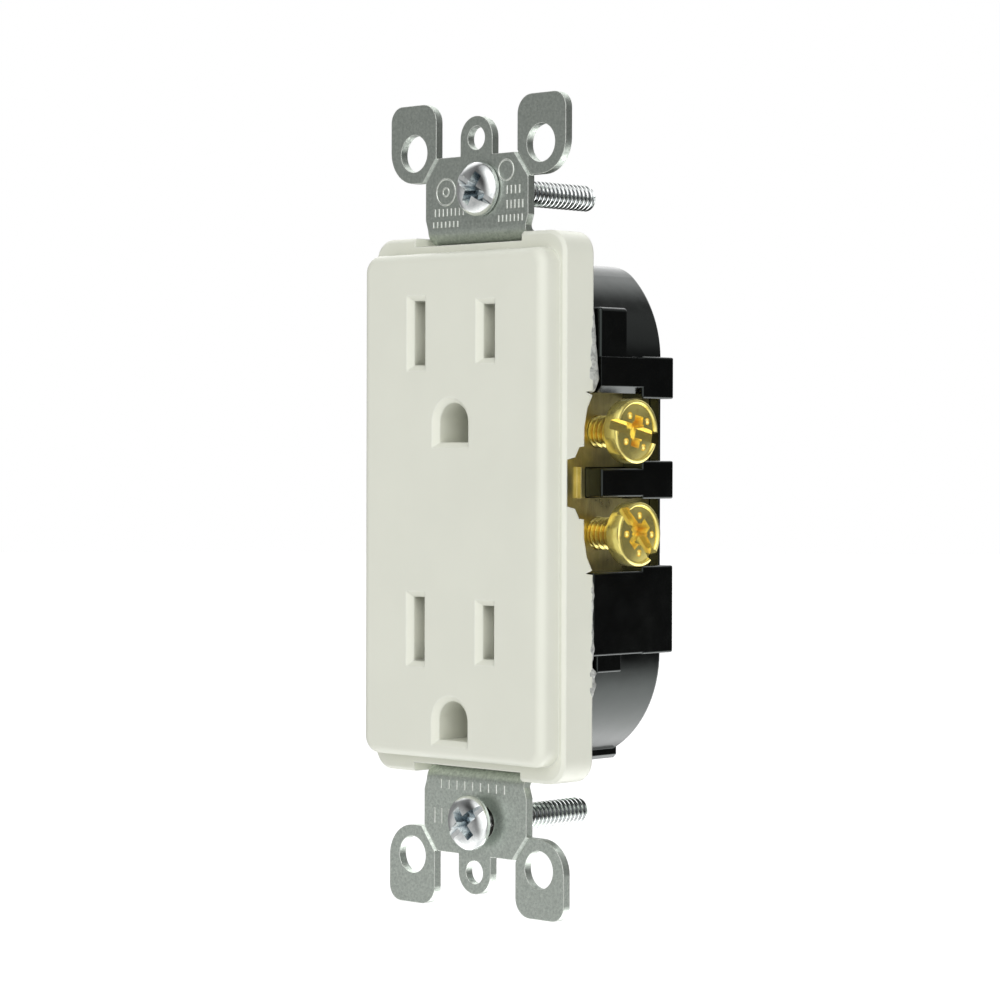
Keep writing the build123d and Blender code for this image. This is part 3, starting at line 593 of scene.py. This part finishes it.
def dimples(name, distance, radius, z):
    """Cutter of four small balls around the axis, between the arms of the cross."""
    bm = bmesh.new()
    for degrees in (45, 135, 225, 315):
        a = radians(degrees)
        place = Matrix.Translation((distance * cos(a), distance * sin(a), z))
        bmesh.ops.create_uvsphere(bm, u_segments=20, v_segments=12, radius=radius, matrix=place)
    return new_object(name, finished_mesh(bm, name))


def carve(obj, cutters):
    """Cut the cutters out of obj for good, and remove them."""
    for cutter in cutters:
        cut = obj.modifiers.new(cutter.name, "BOOLEAN")
        cut.operation = "DIFFERENCE"
        cut.solver = "EXACT"
        cut.object = cutter
    shape = obj.evaluated_get(bpy.context.evaluated_depsgraph_get())
    mesh = bpy.data.meshes.new_from_object(shape)
    for item in [obj] + cutters:
        bpy.data.objects.remove(item)
    mesh.transform(Matrix.Scale(MM, 4))
    mesh.shade_smooth()
    mesh.set_sharp_from_angle(angle=radians(SHARP_ANGLE))
    return mesh


# ---- Screws ---------------------------------------------------------------------------
def terminal_screw_mesh():
    """Side screw: domed head in a rim, four dimples and a slot crossed by a recess."""
    r, t = TERMINAL_HEAD_R, TERMINAL_HEAD_T
    profile = []
    for i in range(11):
        out = 0.1 * i
        profile.append((out * (r - TERMINAL_RIM), t - 0.03 - TERMINAL_DOME * out**2))
    profile += [
        (r - 0.50, t - 0.05),
        (r - 0.38, t),
        (r - 0.22, t - 0.03),
        (r - 0.07, t - 0.14),
        (r, t - 0.36),
        (r, 0.45),
        (r - 0.06, 0.18),
        (r - 0.26, 0.0),
        (TERMINAL_ROOT_R + 0.25, 0.0),
        (TERMINAL_NECK_R, TERMINAL_NECK_Z),
    ]
    bm = bmesh.new()
    add_lathe(bm, profile, TERMINAL_SIDES)
    add_terminal_thread(bm, TERMINAL_TIP_Z)
    screw = new_object("terminal_screw", finished_mesh(bm, "terminal_screw"))
    cutters = [
        taper_block("slot_cut", (r + 0.6, 0.84), (r + 0.6, 0.58), t + CUT_OVER, t - 1.15),
        taper_block("cross_cut", (0.84, 2.15), (0.55, 1.50), t + CUT_OVER, t - 1.60),
        taper_block("square_cut", (1.12, 1.12), (0.86, 0.86), t + CUT_OVER, t - 1.50),
        dimples("dimple_cut", DIMPLE_CIRCLE_R, DIMPLE_R, t - 0.10),
    ]
    return carve(screw, cutters)


def box_screw_mesh():
    """Pan head with a cross recess sunk well in and a slot, neck for the washer, long thread."""
    r, t = BOX_HEAD_R, BOX_HEAD_T
    profile = []
    for degrees in range(0, 90, 9):
        a = radians(degrees)
        profile.append((r * sin(a), BOX_RIM_T + (t - BOX_RIM_T) * cos(a) ** 0.85))
    profile += [(r, BOX_RIM_T), (r - 0.03, 0.2), (r - 0.15, 0.06), (r - 0.3, SEAT_GAP)]
    profile += [(BOX_NECK_R, SEAT_GAP), (BOX_NECK_R, -BOX_NECK)]
    bm = bmesh.new()
    add_lathe(bm, profile, BOX_SIDES)
    add_thread(bm, BOX_SHANK_R, BOX_ROOT_R, BOX_NECK_R, -BOX_NECK, -BOX_LENGTH, BOX_SIDES)
    screw = new_object("box_screw", finished_mesh(bm, "box_screw"))
    cutters = [
        taper_block("slot_cut", (r + 0.6, 0.66), (r + 0.6, 0.42), t + CUT_OVER, 0.85),
        taper_block("cross_cut", (0.72, 2.45), (0.34, 1.2), t + CUT_OVER, -0.3),
        taper_block("long_cross_cut", (2.45, 0.76), (1.2, 0.36), t + 0.12, -0.28),
        taper_block("heart_cut", (1.05, 1.05), (0.55, 0.55), t + CUT_OVER, -0.26, 45),
    ]
    return carve(screw, cutters)


def ground_screw_mesh():
    """Hexagonal washer-head screw with a slot."""
    half = HEX_ACROSS / 2
    corner = half / cos(pi / 6)
    washer_r = TERMINAL_HEAD_R

    def hexagon(angle):
        return half / cos((angle % (pi / 3)) - pi / 6)

    rings = []
    for share, drop in ((0.0, 0.12), (0.55, 0.1), (0.80, 0.0), (0.96, 0.04)):
        rings.append(circle(half * share, HEX_T - drop, TERMINAL_SIDES))
    for share, z in ((0.0, HEX_T - 0.35), (0.25, HEX_T - 0.7), (1.0, HEX_WASHER_T)):
        rings.append(circle(half + share * (corner - half), z, TERMINAL_SIDES, hexagon))
    for r, z in (
        (washer_r - 0.12, HEX_WASHER_T - 0.02),
        (washer_r, HEX_WASHER_T - 0.2),
        (washer_r, 0.18),
        (washer_r - 0.15, 0.0),
        (TERMINAL_NECK_R, 0.0),
        (TERMINAL_NECK_R, TERMINAL_NECK_Z),
    ):
        rings.append(circle(r, z, TERMINAL_SIDES))
    bm = bmesh.new()
    add_rings(bm, rings)
    add_terminal_thread(bm, HEX_TIP_Z)
    screw = new_object("hex_screw", finished_mesh(bm, "hex_screw"))
    return carve(screw, [taper_block("slot_cut", (6, 0.55), (6, 0.5), HEX_T + 0.2, HEX_T - 1.0)])


def seat(origin, outward, across, turn):
    """Place for a screw whose own +Z points outward and whose slot runs along across."""
    z = Vector(outward)
    x = Vector(across)
    y = z.cross(x)
    turned = Matrix((x, y, z)).transposed().to_4x4() @ Matrix.Rotation(radians(turn), 4, "Z")
    return Matrix.Translation(origin) @ turned


def place_screw(node, mesh, slot, outward, across, head_t, turn):
    """Put a detailed screw where its CAD node is, with the top of its head at the node's end."""
    low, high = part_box(node)
    middle = (Vector(low) + Vector(high)) / 2
    axis = next(i for i in range(3) if outward[i])
    top = high[axis] if outward[axis] > 0 else low[axis]
    middle[axis] = top - outward[axis] * head_t * MM
    own = mesh.copy()
    own.materials.clear()
    own.materials.append(materials[slot])
    screw = new_object(node + "_detailed", own)
    screw.matrix_world = seat(middle, outward, across, turn)
    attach(screw, node)
    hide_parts(node)


def add_screws():
    terminal = terminal_screw_mesh()
    box = box_screw_mesh()
    left, right, front, back = (-1, 0, 0), (1, 0, 0), (0, -1, 0), (0, 1, 0)
    for place in PLACES:
        for kind, side, slot in (("hot", right, "brass_screw"), ("neutral", left, "nickel_screw")):
            node = kind + "_screw_" + place
            place_screw(node, terminal, slot, side, back, TERMINAL_HEAD_T, SCREW_TURNS[node])
        node = "box_screw_" + place
        place_screw(node, box, "zinc_screw", front, right, BOX_HEAD_T, SCREW_TURNS[node])
    hexed = ground_screw_mesh()
    place_screw("ground_screw", hexed, "green_screw", left, back, HEX_T, HEX_TURN)


# ---- Shutter springs --------------------------------------------------------------------
SPRING_TURNS = 6
SPRING_WIRE_R = 0.15
SPRING_STEPS = 168
SPRING_SIDES = 12


def coil(name, low, high):
    """Coil of round wire along X that fills a box of metres."""
    wire = SPRING_WIRE_R * MM
    middle = (Vector(low) + Vector(high)) / 2
    radius = (high[2] - low[2]) / 2 - wire
    start, length = low[0] + wire, high[0] - low[0] - 2 * wire
    rise = length / (2 * pi * SPRING_TURNS)
    around = [2 * pi * j / SPRING_SIDES for j in range(SPRING_SIDES)]
    rings = []
    for i in range(SPRING_STEPS + 1):
        a = 2 * pi * SPRING_TURNS * i / SPRING_STEPS
        out = Vector((0, cos(a), sin(a)))
        side = Vector((rise, -radius * sin(a), radius * cos(a))).normalized().cross(out)
        centre = Vector((start + length * i / SPRING_STEPS, middle.y, middle.z)) + radius * out
        rings.append([(centre + wire * (cos(b) * out + sin(b) * side)) / MM for b in around])
    bm = bmesh.new()
    add_tube(bm, rings)
    return scaled_object(bm, name, "spring_steel")


def add_springs():
    for place in PLACES:
        node = "shutter_spring_" + place
        low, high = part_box(node)
        spring = coil(node + "_coil", low, high)
        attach(spring, "device")
        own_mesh(spring)
        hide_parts(node)


# ---- Weld flash between cover and body (millimetres) ---------------------------------------
BEAD_INSET = 0.38
BEAD_STEP = 0.22
BEAD_SIDES = 14
BEAD_WIDTH = 0.42
BEAD_REACH = 0.06
# Each bead: name, z from and to, reach over its length, seed, and how ragged it is.
BEADS = (
    ("weld_flash_upper", 14.7, 26.5, lambda s: 0.30 + 1.45 * (1 - s) ** 1.2, 3, 0.07),
    ("weld_flash_lower", -20.6, -8.9, lambda s: 0.40 + 0.25 * sin(9 * s), 5, 0.16),
    ("weld_flash_lump", -25.0, -20.4, lambda s: 0.35 + 0.55 * sin(pi * s), 11, 0.30),
)


def add_bead(name, z_low, z_high, swell, seed, ripple):
    """Ragged bead along the cover's rear right edge; swell(share) is its reach."""
    random = Random(seed)
    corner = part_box("front_cover")[1]
    edge_x, edge_y = corner[0] / MM - BEAD_INSET, corner[1] / MM
    steps = int((z_high - z_low) / BEAD_STEP)
    waves = []
    for _ in range(6):
        waves.append([random.uniform(*span) for span in ((1.5, 5.5), (0, 6.3), (0.3, 1.0))])
    rings = []
    for i in range(steps + 1):
        share = i / steps
        z = z_low + (z_high - z_low) * share
        wave = sum(size * sin(rate * z + shift) for rate, shift, size in waves) / 3
        ends = min(1.0, 6 * share, 6 * (1 - share)) ** 0.5
        width = ends * (BEAD_WIDTH + 0.3 * ripple * sin(2.3 * z))
        reach = ends * max(BEAD_REACH, swell(share) + ripple * wave)
        ring = []
        for j in range(BEAD_SIDES):
            a = 2 * pi * j / BEAD_SIDES
            lump = 1 + ripple * 0.5 * sin(3 * a + 2.1 * z) * sin(1.7 * z)
            ring.append((edge_x + width * lump * cos(a), edge_y + reach * lump * sin(a), z))
        rings.append(ring)
    bm = bmesh.new()
    add_tube(bm, rings)
    bead = scaled_object(bm, name, "weld_flash", 60)
    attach(bead, "device")


# ---- Stamped marks on the strap (millimetres) -------------------------------------------------
MARK_WIDTH = 0.30
MARK_HEIGHT = 0.12
MARK_SIDES = 32
# Section of a mark: share of its width, and of its height above the strap's face.
MARK_SECTION = (
    (-0.5, 0.0), (-0.36, 0.7), (0.0, 1.0), (0.36, 0.7), (0.5, 0.0), (0.3, -0.5), (-0.3, -0.5),
)
# Rings: centre x and z, radius. Rows of bars: x of the first, middle z, count, pitch, length.
MARK_RINGS = ((-5.6, 41.6, 1.75), (-5.6, 41.6, 0.55), (5.4, 43.9, 1.35))
MARK_ROWS = (
    (5.6, 41.3, 4, 0.75, 1.1),
    (5.6, 39.4, 5, 0.7, 1.1),
    (4.1, 37.6, 7, 0.7, 0.9),
    (-7.6, 38.9, 8, 0.75, 1.0),
    (-7.9, 37.3, 7, 0.75, 0.8),
    (-6.2, -37.1, 9, 1.45, 1.2),
    (-7.4, -41.4, 3, 1.3, 2.0),
)


def add_ridge(bm, path, closed):
    """Low rounded ridge along a path of (x, z) points on the strap's front face."""
    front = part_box("mounting_strap")[0][1] / MM
    rings = []
    count = len(path)
    for i, point in enumerate(path):
        before = Vector(path[(i - 1) % count] if closed or i else path[0])
        after = Vector(path[(i + 1) % count] if closed or i < count - 1 else path[-1])
        along = (after - before).normalized()
        aside = Vector((-along.y, along.x))
        ring = []
        for across, up in MARK_SECTION:
            spot = Vector(point) + aside * across * MARK_WIDTH
            ring.append((spot.x, front - up * MARK_HEIGHT, spot.y))
        rings.append(ring)
    if closed:
        add_rings(bm, rings + [rings[0]])
    else:
        add_tube(bm, rings)


def add_strap_marks():
    """Plain rings and bars where a real strap is stamped."""
    bm = bmesh.new()
    for x, z, radius in MARK_RINGS:
        ring = circle(radius, 0, MARK_SIDES)
        add_ridge(bm, [(x + across, z + up) for across, up, _ in ring], True)
    for left, z, count, pitch, length in MARK_ROWS:
        for i in range(count):
            x = left + i * pitch
            add_ridge(bm, [(x, z - length / 2), (x, z), (x, z + length / 2)], False)
    marks = scaled_object(bm, "strap_marks", "stamped_steel", 50)
    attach(marks, "device")


# ---- Stage ----------------------------------------------------------------------------------
def make_camera():
    a, e = CAMERA_AZIMUTH, CAMERA_ELEVATION
    back = Vector((sin(a) * cos(e), -cos(a) * cos(e), sin(e)))
    right = Vector((cos(a), sin(a), 0))
    up = back.cross(right)
    data = bpy.data.cameras.new("photo_camera")
    data.lens = CAMERA_LENS
    data.sensor_width = CAMERA_SENSOR
    data.shift_x, data.shift_y = CAMERA_SHIFT
    data.clip_start = CAMERA_NEAR
    camera = new_object("photo_camera", data)
    turn = Matrix((right, up, back)).transposed().to_4x4()
    roll = Matrix.Rotation(CAMERA_ROLL, 4, "Z")
    camera.matrix_world = Matrix.Translation(back * CAMERA_DISTANCE) @ turn @ roll
    bpy.context.scene.camera = camera


def make_floor():
    """Large pale disc below the object."""
    bm = bmesh.new()
    bmesh.ops.create_circle(bm, cap_ends=True, segments=96, radius=FLOOR_R)
    mesh = bpy.data.meshes.new("floor")
    bm.to_mesh(mesh)
    bm.free()
    finish = Finish("floor_paper", roughness=0.9, colour=FLOOR_TONES[0])
    tone = finish.mix(finish.noise(40.0, 3.0), *FLOOR_TONES)
    finish.shader.inputs["Emission Color"].default_value = (1, 1, 1, 1)
    finish.set(Base_Color=tone, Emission_Strength=FLOOR_GLOW, Specular_IOR_Level=0.0)
    mesh.materials.append(finish.material)
    floor = new_object("floor", mesh)
    floor.location.z = cad_box[0][2] - FLOOR_DROP
    floor.visible_diffuse = False
    floor.visible_glossy = False


def make_world():
    """White room with soft boxes; the camera sees plain white."""
    world = bpy.data.worlds.new("studio")
    world.use_nodes = True
    tree = world.node_tree
    links = tree.links
    background = tree.nodes["Background"]
    looking = tree.nodes.new("ShaderNodeTexCoord").outputs["Generated"]
    level = None
    for direction, faded, full, strength in SOFT_BOXES:
        dot = tree.nodes.new("ShaderNodeVectorMath")
        dot.operation = "DOT_PRODUCT"
        links.new(looking, dot.inputs[0])
        dot.inputs[1].default_value = Vector(direction).normalized()
        fade = tree.nodes.new("ShaderNodeMapRange")
        fade.interpolation_type = "SMOOTHSTEP"
        links.new(dot.outputs["Value"], fade.inputs["Value"])
        for socket, number in zip(fade.inputs[1:5], (faded, full, 0.0, strength)):
            socket.default_value = number
        total = tree.nodes.new("ShaderNodeMath")
        links.new(fade.outputs[0], total.inputs[0])
        total.inputs[1].default_value = ROOM_LEVEL
        if level is not None:
            links.new(level, total.inputs[1])
        level = total.outputs[0]
    seen = tree.nodes.new("ShaderNodeMix")
    links.new(tree.nodes.new("ShaderNodeLightPath").outputs["Is Camera Ray"], seen.inputs[0])
    links.new(level, seen.inputs[2])
    seen.inputs[3].default_value = BACKGROUND
    links.new(seen.outputs[0], background.inputs["Strength"])
    background.inputs["Color"].default_value = (1, 1, 1, 1)
    bpy.context.scene.world = world


dress_cad_nodes()
add_screws()
add_springs()
for bead in BEADS:
    add_bead(*bead)
add_strap_marks()
make_camera()
make_floor()
make_world()
bpy.context.scene.view_settings.view_transform = "Standard"
